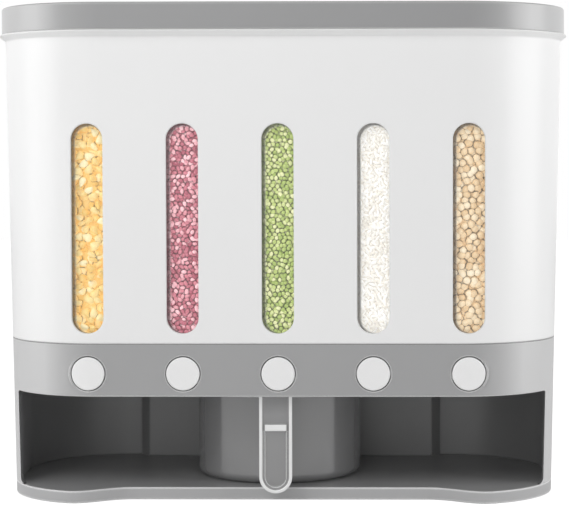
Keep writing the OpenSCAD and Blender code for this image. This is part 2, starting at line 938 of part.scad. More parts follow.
module lid() {
    color(grey_colour)
    difference() {
        union() {
            difference() {
                lid_block();
                intersection() {
                    upright(rim_z, lid_wall - lid_over, lid_z - over, lid_top_z - lid_top_t);
                    front_of(back_reach - lid_wall, lid_z - over, lid_top_z);
                }
            }
            seal_rib();
            lid_knuckles();
        }
        rear_roll();
        for (s = [-1, 1]) {
            box(
                [s * hinge_x - ear_w / 2 - notch_gap, hinge_y - knuckle_r - notch_gap, lid_z - over],
                [s * hinge_x + ear_w / 2 + notch_gap, back_reach + over, lid_top_z - lid_top_t]
            );
            hinge_axis(s * hinge_x - ear_w, s * hinge_x + ear_w, pin_r + bore_gap);
        }
        box([-base_w, hinge_y + lid_gap, lid_z - over], [base_w, back_reach + over, lid_z + relief_h]);
    }
}

// The lid's outer form, with a rounded upper edge
module lid_block() {
    strip = corner_r(rim_z, 0) - lid_edge_r;
    intersection() {
        upright(rim_z, lid_edge_r, lid_z, lid_top_z);
        front_of(back_reach, lid_z, lid_top_z);
    }
    box([-corner_x, front_corner_y, lid_z], [corner_x, back_reach, lid_top_z]);
    along_outline(rim_z, lid_z, lid_top_z) {
        translate([-strip, lid_z])
            square([strip + lid_over - lid_edge_r, lid_h]);
        translate([-strip, lid_z])
            square([strip + lid_over, lid_h - lid_edge_r]);
        translate([lid_over - lid_edge_r, lid_top_z - lid_edge_r])
            circle(r = lid_edge_r, $fn = small_fn);
    }
}

module seal_rib() {
    inset = seal_inset + rib_set;
    difference() {
        upright(rim_z, inset, lid_z + seal_h, lid_top_z - lid_top_t / 2);
        upright(rim_z, inset + lid_wall, lid_z, lid_top_z);
    }
}

module lid_knuckles() {
    reach = ear_w / 2 + notch_gap;
    for (s = [-1, 1], t = [-1, 1]) {
        x = s * hinge_x + t * (reach + knuckle_w / 2);
        hinge_axis(x - knuckle_w / 2, x + knuckle_w / 2, knuckle_r);
        box(
            [x - knuckle_w / 2, hinge_y - knuckle_r, hinge_z],
            [x + knuckle_w / 2, back_reach - lid_wall / 2, lid_top_z - lid_top_t / 2]
        );
    }
}

// Trims the rear upper edge to a quarter round about the hinge
module rear_roll() {
    difference() {
        box([-base_w, hinge_y, hinge_z], [base_w, back_reach + over, lid_top_z + over]);
        hinge_axis(-base_w, base_w, roll_r);
    }
}

module lid_seal() {
    color(dark_colour)
    difference() {
        upright(rim_z, seal_inset, lid_z, lid_z + seal_h);
        upright(rim_z, seal_inset + seal_w, lid_z - over, lid_z + seal_h + over);
    }
}

module hinge_pins() {
    half = ear_w / 2 + notch_gap + knuckle_w;
    color(steel_colour)
    for (s = [-1, 1])
        hinge_axis(s * hinge_x - half, s * hinge_x + half, pin_r);
}

// Measuring cup, with a flat tongue for a handle in front of it
cup_base_t = 2.2;
cup_foot_z = floor_z + cup_gap;
cup_h = cup_rim_z - cup_foot_z;
step_side = 2;
panel_low_set = 4;
rim_roll_r = 1.1;

module cup_profile(r, h, edge_r) {
    square([r - edge_r, h]);
    translate([0, edge_r])
        square([r, h - edge_r]);
    translate([r - edge_r, edge_r])
        circle(r = edge_r, $fn = large_fn);
}

module measuring_cup() {
    color(smoke_colour)
    translate([-cup_left, cup_y, 0])
        rotate([0, 0, cup_turn])
            difference() {
                union() {
                    translate([0, 0, cup_foot_z])
                        rotate_extrude($fn = large_fn) {
                            intersection() {
                                cup_profile(cup_r, cup_h, cup_edge_r);
                                square([cup_r, cup_h]);
                            }
                            translate([cup_r - rim_roll_r / 2, cup_h - rim_roll_r])
                                circle(r = rim_roll_r, $fn = small_fn);
                        }
                    cup_handle();
                }
                translate([0, 0, cup_foot_z + cup_base_t])
                    rotate_extrude($fn = large_fn)
                        intersection() {
                            cup_profile(cup_r - cup_wall, cup_h + over, cup_edge_r - cup_wall);
                            square([cup_r, cup_h + over]);
                        }
            }
}

// The tongue's outline, drawn in X and Z, set in by a margin
module tongue_outline(set, z1) {
    r = tongue_w / 2 - set;
    low = tongue_low_z + tongue_w / 2;
    translate([-r, low])
        square([2 * r, z1 - low]);
    translate([0, low])
        circle(r = r, $fn = small_fn);
}

module cup_handle() {
    face = -tongue_reach;
    back = face + tongue_t;
    cove_r = (cup_r - tongue_reach + tongue_t) / -2;
    difference() {
        union() {
            along_y(face, back)
                tongue_outline(0, tongue_top_z);
            box([-arm_half_w, back - tongue_t / 2, arm_z], [arm_half_w, -cup_r + cup_wall, tongue_top_z]);
        }
        difference() {
            along_y(face - over, face + tongue_sink)
                tongue_outline(tongue_rim, tongue_top_z + over);
            box([-bar_half_w, face, bar_z], [bar_half_w, face + tongue_t, bar_z + bar_h]);
            difference() {
                box([-tongue_w, face + tongue_sink / 2, tongue_low_z], [tongue_w, face + tongue_t, bar_z]);
                along_y(face - over, face + tongue_t)
                    tongue_outline(tongue_rim + step_side, tongue_top_z);
            }
        }
        translate([-arm_half_w - over, back + cove_r, arm_z])
            rotate([0, 90, 0])
                cylinder(h = 2 * (arm_half_w + over), r = cove_r, $fn = small_fn);
    }
}

// Wall bracket with two hooks, pads that match its thickness, and the housing screws
bracket_corner_r = 8;
pad_x = 243;
pad_z = 40;
pad_stem_len = 2;
screw_head_r = 2.8;
screw_head_h = 2;
screw_r = 1.55;
// The tray's walls are upright up to a step just below the screw heads
head_room = 0.5;
wall_step_z = panel_top_z - screw_head_h - head_room;

module wall_bracket() {
    color(steel_colour) {
        difference() {
            along_y(back_reach, back_reach + bracket_t)
                translate([0, bracket_z])
                    rounded_plate(bracket_w, bracket_h, bracket_corner_r);
            for (sx = [-1, 1], sz = [-1, 1])
                translate([sx * wall_hole_dx / 2, back_reach + bracket_t + over, bracket_z + sz * wall_hole_dz / 2])
                    rotate([90, 0, 0])
                        cylinder(h = bracket_t + over + over, r = wall_hole_r, $fn = small_fn);
        }
        for (s = [-1, 1])
            hook(s * hook_x);
    }
}

module rounded_plate(width, height, r) {
    square([width - 2 * r, height], center = true);
    square([width, height - 2 * r], center = true);
    for (sx = [-1, 1], sz = [-1, 1])
        translate([sx * (width / 2 - r), sz * (height / 2 - r)])
            circle(r = r, $fn = small_fn);
}

module hook(x) {
    inner = back_reach - shell_wall - hook_gap;
    box([x - hook_w / 2, inner - hook_t, hook_low_z], [x + hook_w / 2, back_reach + bracket_t / 2, hook_low_z + hook_tab_h]);
    box([x - hook_w / 2, inner - hook_t, hook_low_z], [x + hook_w / 2, inner, hook_low_z + hook_tab_h + hook_up]);
}

module wall_pads() {
    color(dark_colour) {
        pad_pair(back_reach, back_reach + bracket_t, pad_r);
        pad_pair(back_reach - pad_stem_len, back_reach + bracket_t / 2, pad_stem_r);
    }
}

module pad_pair(y0, y1, r) {
    for (s = [-1, 1])
        translate([s * pad_x / 2, y0, pad_z])
            rotate([-90, 0, 0])
                cylinder(h = y1 - y0, r = r, $fn = small_fn);
}

module housing_screws() {
    low = deck_low_z - ledge_t;
    color(steel_colour) {
        boss_column(low - screw_head_h, low, screw_head_r);
        boss_column(low - screw_head_h / 2, seam_z + boss_h - boss_r, screw_r);
    }
}

body_shell();
base_housing();
tray_floor();
slide_deck();
lid();
lid_seal();
hinge_pins();
for (i = [0 : cells - 1]) {
    cell_bin(i);
    window(i);
    button(i);
    gate(i);
    spring(i);
}
measuring_cup();
wall_bracket();
wall_pads();
housing_screws();
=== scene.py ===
import math
import random

import bmesh
import bpy
from bpy.props import FloatProperty, FloatVectorProperty, IntProperty, PointerProperty
from bpy.types import Operator, Panel, PropertyGroup
from mathutils import Matrix, Vector
from mathutils.bvhtree import BVHTree


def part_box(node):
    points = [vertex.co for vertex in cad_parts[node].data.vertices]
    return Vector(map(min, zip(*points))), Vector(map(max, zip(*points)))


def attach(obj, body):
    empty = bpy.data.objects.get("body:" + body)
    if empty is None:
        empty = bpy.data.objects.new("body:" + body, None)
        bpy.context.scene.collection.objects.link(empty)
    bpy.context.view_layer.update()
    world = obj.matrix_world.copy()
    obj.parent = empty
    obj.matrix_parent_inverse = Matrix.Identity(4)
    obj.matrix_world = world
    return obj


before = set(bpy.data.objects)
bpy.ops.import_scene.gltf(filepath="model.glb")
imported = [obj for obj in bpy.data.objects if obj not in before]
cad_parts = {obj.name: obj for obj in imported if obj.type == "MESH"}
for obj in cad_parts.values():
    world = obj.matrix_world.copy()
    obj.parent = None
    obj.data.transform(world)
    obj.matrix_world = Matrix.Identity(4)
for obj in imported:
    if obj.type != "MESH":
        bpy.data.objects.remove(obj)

bl_info = {
    "name": "Multi-compartment cereal container",
    "version": (1, 0, 0),
    "blender": (4, 5, 0),
    "location": "3D View > Sidebar > Container",
    "description": "Finishes a five-cell wall container for dry food and fills its cells with grain",
    "category": "Object",
}

CELLS = (1, 2, 3, 4, 5)


def numbered(stem):
    """The names of the five like pieces, one for each cell."""
    return ["%s_%d" % (stem, i) for i in CELLS]


# Settings

class ContainerColours(PropertyGroup):
    """Colours of the container's plastics and metal"""

    shell: FloatVectorProperty(
        name="Casing", description="White of the casing and the buttons",
        subtype="COLOR", size=3, min=0, max=1, default=(0.85, 0.85, 0.85),
    )
    trim: FloatVectorProperty(
        name="Lid and base", description="Grey of the lid and the base",
        subtype="COLOR", size=3, min=0, max=1, default=(0.285, 0.285, 0.288),
    )
    bin: FloatVectorProperty(
        name="Cell bin", description="Off-white of the bins, the deck and the gates",
        subtype="COLOR", size=3, min=0, max=1, default=(0.74, 0.745, 0.74),
    )
    smoke: FloatVectorProperty(
        name="Cup", description="Smoky grey of the measuring cup",
        subtype="COLOR", size=3, min=0, max=1, default=(0.32, 0.32, 0.323),
    )
    rubber: FloatVectorProperty(
        name="Gasket and pads", description="Dark grey of the rubber",
        subtype="COLOR", size=3, min=0, max=1, default=(0.03, 0.03, 0.032),
    )
    steel: FloatVectorProperty(
        name="Metal", description="Steel of the bracket, pins, screws and springs",
        subtype="COLOR", size=3, min=0, max=1, default=(0.62, 0.62, 0.63),
    )


class ContainerFood(PropertyGroup):
    """How the cells are filled"""

    fill_over: FloatProperty(
        name="Fill above windows", description="How far the grain stands above the top of the windows",
        subtype="DISTANCE", unit="LENGTH", min=0, max=0.04, default=0.009,
    )
    layers: IntProperty(
        name="Layers", description="Layers of whole grains behind each window",
        min=1, max=4, default=2,
    )
    seed: IntProperty(
        name="Seed", description="Start of the random order of the grains", min=0, default=7,
    )


class ContainerStage(PropertyGroup):
    """Camera and light"""

    lens: FloatProperty(
        name="Lens", description="Focal length of the camera in millimetres", min=20, max=300, default=115.09,
    )
    camera_place: FloatVectorProperty(
        name="Camera", description="Place of the camera", subtype="TRANSLATION", unit="LENGTH", size=3,
        default=(0.07457, -1.3101, 0.23408),
    )
    camera_turn: FloatVectorProperty(
        name="Camera turn", description="Yaw to the left, pitch up and roll of the camera",
        subtype="EULER", unit="ROTATION", size=3, default=(0.0142, -0.0163, 0.0014),
    )
    camera_shift: FloatVectorProperty(
        name="Camera shift", description="Shift of the frame across and up",
        size=2, default=(-0.1362, -0.1098),
    )
    key: FloatProperty(
        name="Key light", description="Power of the key light in watts", min=0, default=9,
    )
    side: FloatProperty(
        name="Side lights", description="Power of each side light in watts, before its own share", min=0, default=13,
    )
    front: FloatProperty(
        name="Front light", description="Power of the front light in watts", min=0, default=3.6,
    )
    fill: FloatProperty(
        name="Room light", description="Strength of the light of the room", min=0, default=0.42,
    )


# Node helpers

FLOAT = "NodeSocketFloat"
NODE_STEP = 190
# Sockets of a mix node that mixes colours: its factor, its two colours and its result
MIX_FACTOR, MIX_A, MIX_B, MIX_OUT = 0, 6, 7, 2
BLEND = {"data_type": "RGBA"}
PRODUCT = {"data_type": "RGBA", "blend_type": "MULTIPLY", (MIX_FACTOR,): 1.0}
# Rays that a spot sends out to find the edges and gaps round it
SPOT_RAYS = 6


def place_nodes(tree, rows):
    """Adds nodes to a tree from rows of name, type and settings, and returns them by name."""
    made = {}
    for column, (name, kind, settings) in enumerate(rows, len(tree.nodes)):
        node = tree.nodes.new(kind)
        node.name = name
        node.location = (column * NODE_STEP, 0)
        for key, value in settings.items():
            if isinstance(key, str):
                setattr(node, key, value)
            else:
                node.inputs[key[0]].default_value = value
        made[name] = node
    return made


def join(tree, made, pairs):
    """Links nodes by pairs of source and target, each a node's name and a socket."""
    for (source, out), (target, into) in pairs:
        tree.links.new(made[source].outputs[out], made[target].inputs[into])


def mapped(start, end, low=0.0, high=1.0):
    """Settings of a map range node that turns start to end into low to high."""
    return {("From Min",): start, ("From Max",): end, ("To Min",): low, ("To Max",): high}


def math_node(name, operation, *values):
    """Row of a math node; values fill its inputs from the second on."""
    return name, "ShaderNodeMath", {"operation": operation, **{(k,): v for k, v in enumerate(values, 1)}}


def group_node(name, group, usual, own):
    """Row of a node group that has its own values over the usual ones."""
    values = {**usual, **own}
    return name, "ShaderNodeGroup", {"node_tree": group, **{(label,): v for label, v in values.items()}}


def new_group(name, inputs, outputs):
    """A node group with named float inputs, and its input and output nodes."""
    tree = bpy.data.node_groups.new(name, "ShaderNodeTree")
    for label, value in inputs.items():
        socket = tree.interface.new_socket(label, in_out="INPUT", socket_type=FLOAT)
        socket.default_value = value
    for label, kind in outputs.items():
        tree.interface.new_socket(label, in_out="OUTPUT", socket_type=kind)
    made = place_nodes(tree, [("in", "NodeGroupInput", {}), ("out", "NodeGroupOutput", {})])
    return tree, made


def new_material(name):
    """An empty material and its node tree."""
    material = bpy.data.materials.new(name)
    material.use_nodes = True
    material.node_tree.nodes.clear()
    return material, material.node_tree


# Shared effects

# What a moulded piece has where its finish says nothing else
SURFACE = {"Grain size": 0.0006, "Grain depth": 0.15, "Roughness": 0.35, "Unevenness": 0.06, "Tone": 0.04}
# Edge radius and reach are lengths. Outward is how far from the middle axis a face's plane lies at least, for its
# edges to get a painted highlight. Crease, top and inside shade are the tones of the painted shade there. Parting
# shade is the height of the parting line, where the gap under the casing is painted dark as shade, and what lies
# before the highlight front gets a painted highlight all over.
EDGES = {
    "Edge radius": 0.0008, "Reach": 0.003, "Outward": -0.001, "Crease": 1.0, "Top": 1.0, "Inside": 1.0,
    "Parting": -1.0, "Front": -1.0,
}
# How far the rounded normal keeps to the face, from where an edge begins to where it is full
EDGE_BEND = (0.995, 0.93)
# How open a spot is, from a closed corner to an outer edge, and from a deep crease with full painted shade to a
# plain face
EDGE_OPEN = (0.7, 0.92)
CREASE_OPEN = (0.45, 0.93)
# Upward share of the normal, from where a face begins to count as a top to where it is one, for the painted shade on
# tops
TOP_RISE = (0.5, 0.9)
# Upward share of the normal below which a face is a wall
WALL_LEAN = 0.5
# Faces whose plane lies farther than this from the middle axis are the outer skin
OUTER_SKIN = 0.05
# Half height of the parting line, and the tone of the painted shade in the gap there
PARTING_HALF = 0.0004
PARTING_SHADE = 0.4


def moulded_group():
    """Fine grain, flow marks and slow unevenness of injection-moulded plastic."""
    name = "Moulded surface"
    if name in bpy.data.node_groups:
        return bpy.data.node_groups[name]
    tree, made = new_group(name, SURFACE, {"Roughness": FLOAT, "Height": FLOAT, "Tone": FLOAT})
    made.update(place_nodes(tree, [
        ("place", "ShaderNodeTexCoord", {}),
        ("scale", "ShaderNodeMath", {"operation": "DIVIDE", (0,): 1.0}),
        ("grain", "ShaderNodeTexNoise", {("Detail",): 2.0, ("Roughness",): 0.6}),
        ("slow", "ShaderNodeTexNoise", {("Scale",): 22.0, ("Detail",): 3.0}),
        ("flow", "ShaderNodeTexNoise", {("Scale",): 7.0, ("Detail",): 2.0, ("Distortion",): 0.6}),
        math_node("rough_part", "SUBTRACT", 0.5),
        math_node("rough_add", "MULTIPLY_ADD"),
        math_node("grain_rough", "MULTIPLY_ADD", 0.04),
        math_node("height", "MULTIPLY"),
        math_node("waves", "MULTIPLY_ADD", 0.5),
        math_node("tone_part", "SUBTRACT", 0.5),
        ("tone", "ShaderNodeMath", {"operation": "MULTIPLY_ADD", (2,): 1.0}),
    ]))
    join(tree, made, [
        (("in", "Grain size"), ("scale", 1)),
        (("place", "Object"), ("grain", "Vector")),
        (("place", "Object"), ("slow", "Vector")),
        (("place", "Object"), ("flow", "Vector")),
        (("scale", 0), ("grain", "Scale")),
        (("slow", 0), ("rough_part", 0)),
        (("rough_part", 0), ("rough_add", 0)),
        (("in", "Unevenness"), ("rough_add", 1)),
        (("in", "Roughness"), ("rough_add", 2)),
        (("grain", 0), ("grain_rough", 0)),
        (("rough_add", 0), ("grain_rough", 2)),
        (("grain_rough", 0), ("out", "Roughness")),
        (("grain", 0), ("height", 0)),
        (("in", "Grain depth"), ("height", 1)),
        (("slow", 0), ("waves", 0)),
        (("height", 0), ("waves", 2)),
        (("waves", 0), ("out", "Height")),
        (("flow", 0), ("tone_part", 0)),
        (("tone_part", 0), ("tone", 0)),
        (("in", "Tone"), ("tone", 1)),
        (("tone", 0), ("out", "Tone")),
    ])
    return tree


def edges_group():
    """Masks of a moulded piece's outer edges, creases and outer walls, and the normal that rounds its edges.

    Painted highlight is 1 on outer edges and before the highlight front. Painted shade is a tone below 1
    in creases, on tops, in the parting gap under the casing and on what isn't outer skin.
    """
    name = "Edges and creases"
    if name in bpy.data.node_groups:
        return bpy.data.node_groups[name]
    tree, made = new_group(
        name, EDGES, {"Normal": "NodeSocketVector", "Bright": FLOAT, "Painted shade": FLOAT, "Outer wall": FLOAT},
    )
    made.update(place_nodes(tree, [
        ("face", "ShaderNodeNewGeometry", {}),
        ("place", "ShaderNodeTexCoord", {}),
        ("spot", "ShaderNodeSeparateXYZ", {}),
        ("rounded", "ShaderNodeBevel", {"samples": SPOT_RAYS}),
        ("bend", "ShaderNodeVectorMath", {"operation": "DOT_PRODUCT"}),
        ("rounding", "ShaderNodeMapRange", mapped(*EDGE_BEND)),
        ("open", "ShaderNodeAmbientOcclusion", {"samples": SPOT_RAYS, "only_local": True}),
        ("unhidden", "ShaderNodeMapRange", mapped(*EDGE_OPEN)),
        ("flat", "ShaderNodeVectorMath", {"operation": "MULTIPLY", (1,): (1, 1, 0)}),
        ("distance", "ShaderNodeVectorMath", {"operation": "DOT_PRODUCT"}),
        math_node("open_edge", "MULTIPLY"),
        math_node("looks_out", "GREATER_THAN"),
        math_node("edge", "MULTIPLY"),
        math_node("before", "LESS_THAN"),
        math_node("bright", "MAXIMUM"),
        ("crease", "ShaderNodeMapRange", mapped(*CREASE_OPEN)),
        math_node("skin", "GREATER_THAN", OUTER_SKIN),
        ("inside", "ShaderNodeMapRange", mapped(0.0, 1.0)),
        math_node("inside_dark", "MULTIPLY"),
        ("facing_up", "ShaderNodeSeparateXYZ", {}),
        ("top", "ShaderNodeMapRange", mapped(*TOP_RISE, low=1.0)),
        ("parting", "ShaderNodeMath", {"operation": "COMPARE", (2,): PARTING_HALF}),
        ("parting_tone", "ShaderNodeMapRange", mapped(0.0, 1.0, low=1.0, high=PARTING_SHADE)),
        math_node("top_dark", "MULTIPLY"),
        math_node("dark", "MULTIPLY"),
        ("upright", "ShaderNodeSeparateXYZ", {}),
        math_node("lean", "ABSOLUTE"),
        math_node("wall", "LESS_THAN", WALL_LEAN),
        math_node("outer_wall", "MULTIPLY"),
    ]))
    join(tree, made, [
        (("place", "Object"), ("spot", 0)),
        (("in", "Edge radius"), ("rounded", "Radius")),
        (("rounded", 0), ("out", "Normal")),
        (("rounded", 0), ("bend", 0)),
        (("face", "True Normal"), ("bend", 1)),
        (("bend", "Value"), ("rounding", 0)),
        (("in", "Reach"), ("open", "Distance")),
        (("open", "AO"), ("unhidden", 0)),
        (("rounding", 0), ("open_edge", 0)),
        (("unhidden", 0), ("open_edge", 1)),
        (("place", "Object"), ("flat", 0)),
        (("flat", 0), ("distance", 0)),
        (("place", "Normal"), ("distance", 1)),
        (("distance", "Value"), ("looks_out", 0)),
        (("in", "Outward"), ("looks_out", 1)),
        (("open_edge", 0), ("edge", 0)),
        (("looks_out", 0), ("edge", 1)),
        (("spot", "Y"), ("before", 0)),
        (("in", "Front"), ("before", 1)),
        (("edge", 0), ("bright", 0)),
        (("before", 0), ("bright", 1)),
        (("bright", 0), ("out", "Bright")),
        (("open", "AO"), ("crease", 0)),
        (("in", "Crease"), ("crease", "To Min")),
        (("distance", "Value"), ("skin", 0)),
        (("skin", 0), ("inside", 0)),
        (("in", "Inside"), ("inside", "To Min")),
        (("crease", 0), ("inside_dark", 0)),
        (("inside", 0), ("inside_dark", 1)),
        (("place", "Normal"), ("facing_up", 0)),
        (("facing_up", "Z"), ("top", 0)),
        (("in", "Top"), ("top", "To Max")),
        (("spot", "Z"), ("parting", 0)),
        (("in", "Parting"), ("parting", 1)),
        (("parting", 0), ("parting_tone", 0)),
        (("top", 0), ("top_dark", 0)),
        (("parting_tone", 0), ("top_dark", 1)),
        (("inside_dark", 0), ("dark", 0)),
        (("top_dark", 0), ("dark", 1)),
        (("dark", 0), ("out", "Painted shade")),
        (("face", "True Normal"), ("upright", 0)),
        (("upright", "Z"), ("lean", 0)),
        (("lean", 0), ("wall", 0)),
        (("wall", 0), ("outer_wall", 0)),
        (("skin", 0), ("outer_wall", 1)),
        (("outer_wall", 0), ("out", "Outer wall")),
    ])
    return tree


# Moulded materials

# The light tone of the painted highlights on edges and of the painted sheen on turned walls
PAINTED_HIGHLIGHT_TONE = (0.9, 0.9, 0.9, 1)
# Share by which a wall is turned from the eye when its painted sheen is full
SHEEN_FULL = 0.28


def plastic(name, colour, surface, edges=None, bump=0.00004, painted_edge_highlight=0.0, painted_sheen=0.0, glow=0.0, **fixed):
    """A moulded plastic fed by the shared surface and edge groups.

    Its edges go to the light tone as a painted highlight, and outer walls that turn away from the eye
    as a painted sheen, each by its own share. The edges group also paints shade into creases and hollows.
    Where it glows, its highlighted spots are solid and give off painted light of their own.
    """
    material, tree = new_material(name)
    made = place_nodes(tree, [
        group_node("surface", moulded_group(), SURFACE, surface),
        group_node("edges", edges_group(), EDGES, edges or {}),
        ("toned", "ShaderNodeMix", {**PRODUCT, (MIX_A,): (*colour, 1)}),
        math_node("edge_share", "MULTIPLY", painted_edge_highlight),
        ("angle", "ShaderNodeLayerWeight", {("Blend",): 0.5}),
        ("turned", "ShaderNodeMapRange", mapped(0.0, SHEEN_FULL, high=painted_sheen)),
        math_node("turned_share", "MULTIPLY"),
        math_node("share", "MAXIMUM"),
        ("lit", "ShaderNodeMix", {**BLEND, (MIX_B,): PAINTED_HIGHLIGHT_TONE}),
        ("creased", "ShaderNodeMix", PRODUCT),
        ("bump", "ShaderNodeBump", {("Strength",): 1.0, ("Distance",): bump}),
        ("shader", "ShaderNodeBsdfPrincipled", {}),
        ("out", "ShaderNodeOutputMaterial", {}),
    ])
    join(tree, made, [
        (("surface", "Tone"), ("toned", MIX_B)),
        (("edges", "Bright"), ("edge_share", 0)),
        (("angle", "Facing"), ("turned", 0)),
        (("turned", 0), ("turned_share", 0)),
        (("edges", "Outer wall"), ("turned_share", 1)),
        (("turned_share", 0), ("share", 0)),
        (("edge_share", 0), ("share", 1)),
        (("share", 0), ("lit", MIX_FACTOR)),
        (("toned", MIX_OUT), ("lit", MIX_A)),
        (("lit", MIX_OUT), ("creased", MIX_A)),
        (("edges", "Painted shade"), ("creased", MIX_B)),
        (("creased", MIX_OUT), ("shader", "Base Color")),
        (("surface", "Roughness"), ("shader", "Roughness")),
        (("surface", "Height"), ("bump", "Height")),
        (("edges", "Normal"), ("bump", "Normal")),
        (("bump", 0), ("shader", "Normal")),
        (("shader", 0), ("out", 0)),
    ])
    if glow:
        made.update(place_nodes(tree, [("solid", "ShaderNodeMapRange", mapped(0.0, 1.0, low=fixed.pop("Alpha")))]))
        join(tree, made, [
            (("edges", "Bright"), ("solid", 0)),
            (("solid", 0), ("shader", "Alpha")),
            (("edges", "Bright"), ("shader", "Emission Color")),
        ])
        fixed["Emission_Strength"] = glow
    for socket, value in fixed.items():
        made["shader"].inputs[socket.replace("_", " ")].default_value = value
    return material


def colours():
    return bpy.context.scene.container_colours


def shaded(colour, share):
    """A colour made lighter or darker by a share, to paint light or shade into a copy of it."""
    return [share * c for c in colour]


# Finishes

TRIM_SURFACE = {"Roughness": 0.3, "Grain size": 0.0005, "Grain depth": 0.3}
TRIM_BUMP = 0.00003
TRIM_EDGE = {"Edge radius": 0.0017}
# The rim of the cup's tongue stands this far before its panel, and all before that line gets a painted highlight
TONGUE_RIM = 0.00055

# A shadow of the slot's edge is painted on its pane: this far to the right and down, fading between these widths
# from the side
SLOT_SHADE = (0.0016, 0.0009)
SHADE_FADE = (0.0014, 0.0001)
SHADE_TONE = (0.1, 0.1, 0.1, 1)
# How much a pane hides in the open and in the painted shadow
PANE_COVER = (0.05, 0.5)
# Width of the flange that holds a pane behind the wall
PANE_FLANGE = 0.0034


def casing_plastic():
    # Painted highlights lighten its outer edges.
    return plastic("Casing plastic", colours().shell,
                   {"Roughness": 0.30, "Grain size": 0.0009, "Grain depth": 0.08},
                   {"Edge radius": 0.0018}, bump=0.00003, painted_edge_highlight=0.8)


def trim_plastic():
    # Painted highlights on its outer edges, painted shade in its creases, and a painted sheen on outer walls turned
    # from the eye.
    return plastic("Grey trim plastic", colours().trim, TRIM_SURFACE, {**TRIM_EDGE, "Crease": 0.7},
                   bump=TRIM_BUMP, painted_edge_highlight=0.75, painted_sheen=0.34, IOR=1.6)


def base_plastic():
    """A lighter copy of the trim's plastic that stands in for the light on the band, with painted shade in the tray,
    in creases and in the gap where the casing rests on it, painted edge highlights and a painted sheen.
    """
    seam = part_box("body_shell")[0].z - PARTING_HALF
    return plastic("Grey base plastic", shaded(colours().trim, 1.17), TRIM_SURFACE,
                   {**TRIM_EDGE, "Reach": 0.012, "Crease": 0.3, "Inside": 0.84, "Parting": seam},
                   bump=TRIM_BUMP, painted_edge_highlight=0.75, painted_sheen=0.4, IOR=1.6)


def floor_plastic():
    """A lighter copy of the trim's plastic that stands in for the light on the lip, with a painted highlight on the
    lip's edges, painted shade in creases and painted shade darkening its top.
    """
    return plastic("Tray floor plastic", shaded(colours().trim, 1.5), {**TRIM_SURFACE, "Roughness": 0.36},
                   {"Edge radius": 0.0024, "Outward": -1.0, "Crease": 0.6, "Top": 0.65},
                   bump=TRIM_BUMP, painted_edge_highlight=0.95)


def bin_plastic():
    return plastic("Bin plastic", colours().bin, {"Roughness": 0.45, "Grain size": 0.0007, "Grain depth": 0.2})


def rubber():
    return plastic("Gasket rubber", colours().rubber,
                   {"Roughness": 0.75, "Grain size": 0.0004, "Grain depth": 0.6}, bump=0.00006)


def pane_plastic():
    """Clear, with a painted shadow that the edge of the slot throws on it from the upper left."""
    material = plastic("Clear pane plastic", (0.88, 0.9, 0.9),
                       {"Roughness": 0.08, "Grain size": 0.004, "Grain depth": 0.02, "Tone": 0.02,
                        "Unevenness": 0.03}, bump=0.00002)
    tree = material.node_tree
    slot_low, slot_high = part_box("window_3")
    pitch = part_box("window_4")[0].x - slot_low.x
    half = (slot_high.x - slot_low.x) / 2 - PANE_FLANGE
    lowest = slot_low.z + PANE_FLANGE + half
    highest = slot_high.z - PANE_FLANGE - half
    fade_start, fade_end = SHADE_FADE
    made = place_nodes(tree, [
        ("place", "ShaderNodeTexCoord", {}),
        ("spot", "ShaderNodeSeparateXYZ", {}),
        math_node("along", "WRAP", pitch / 2, -pitch / 2),
        math_node("across", "SUBTRACT", SLOT_SHADE[0]),
        math_node("height", "ADD", SLOT_SHADE[1]),
        ("held", "ShaderNodeClamp", {("Min",): lowest, ("Max",): highest}),
        math_node("rise", "SUBTRACT"),
        ("offset", "ShaderNodeCombineXYZ", {}),
        ("far", "ShaderNodeVectorMath", {"operation": "LENGTH"}),
        ("shade", "ShaderNodeMapRange", mapped(half - fade_start, half - fade_end)),
        ("cover", "ShaderNodeMapRange", mapped(0.0, 1.0, *PANE_COVER)),
        ("tint", "ShaderNodeMix", {**BLEND, (MIX_B,): SHADE_TONE}),
    ])
    made.update((name, tree.nodes[name]) for name in ("creased", "shader"))
    join(tree, made, [
        (("place", "Object"), ("spot", 0)),
        (("spot", "X"), ("along", 0)),
        (("along", 0), ("across", 0)),
        (("spot", "Z"), ("height", 0)),
        (("height", 0), ("held", 0)),
        (("height", 0), ("rise", 0)),
        (("held", 0), ("rise", 1)),
        (("across", 0), ("offset", "X")),
        (("rise", 0), ("offset", "Z")),
        (("offset", 0), ("far", 0)),
        (("far", "Value"), ("shade", 0)),
        (("shade", 0), ("cover", 0)),
        (("shade", 0), ("tint", MIX_FACTOR)),
        (("creased", MIX_OUT), ("tint", MIX_A)),
        (("tint", MIX_OUT), ("shader", "Base Color")),
        (("cover", 0), ("shader", "Alpha")),
    ])
    return material


def smoke_plastic():
    """Smoky and clear; a painted highlight and a painted glow make the rim and crossbar of the tongue solid
    and bright, and painted highlights lighten its edges.
    """
    return plastic("Smoky cup plastic", colours().smoke,
                   {"Roughness": 0.1, "Grain size": 0.0008, "Grain depth": 0.04, "Unevenness": 0.03},
                   {"Edge radius": 0.0012, "Front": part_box("measuring_cup")[0].y + TONGUE_RIM},
                   bump=0.00002, painted_edge_highlight=0.78, glow=0.06, IOR=2.2, Alpha=0.66)


def brushed_steel():
    return plastic("Brushed steel", colours().steel,
                   {"Roughness": 0.34, "Grain size": 0.0003, "Grain depth": 0.4, "Unevenness": 0.12},
                   bump=0.00002, Metallic=1.0)


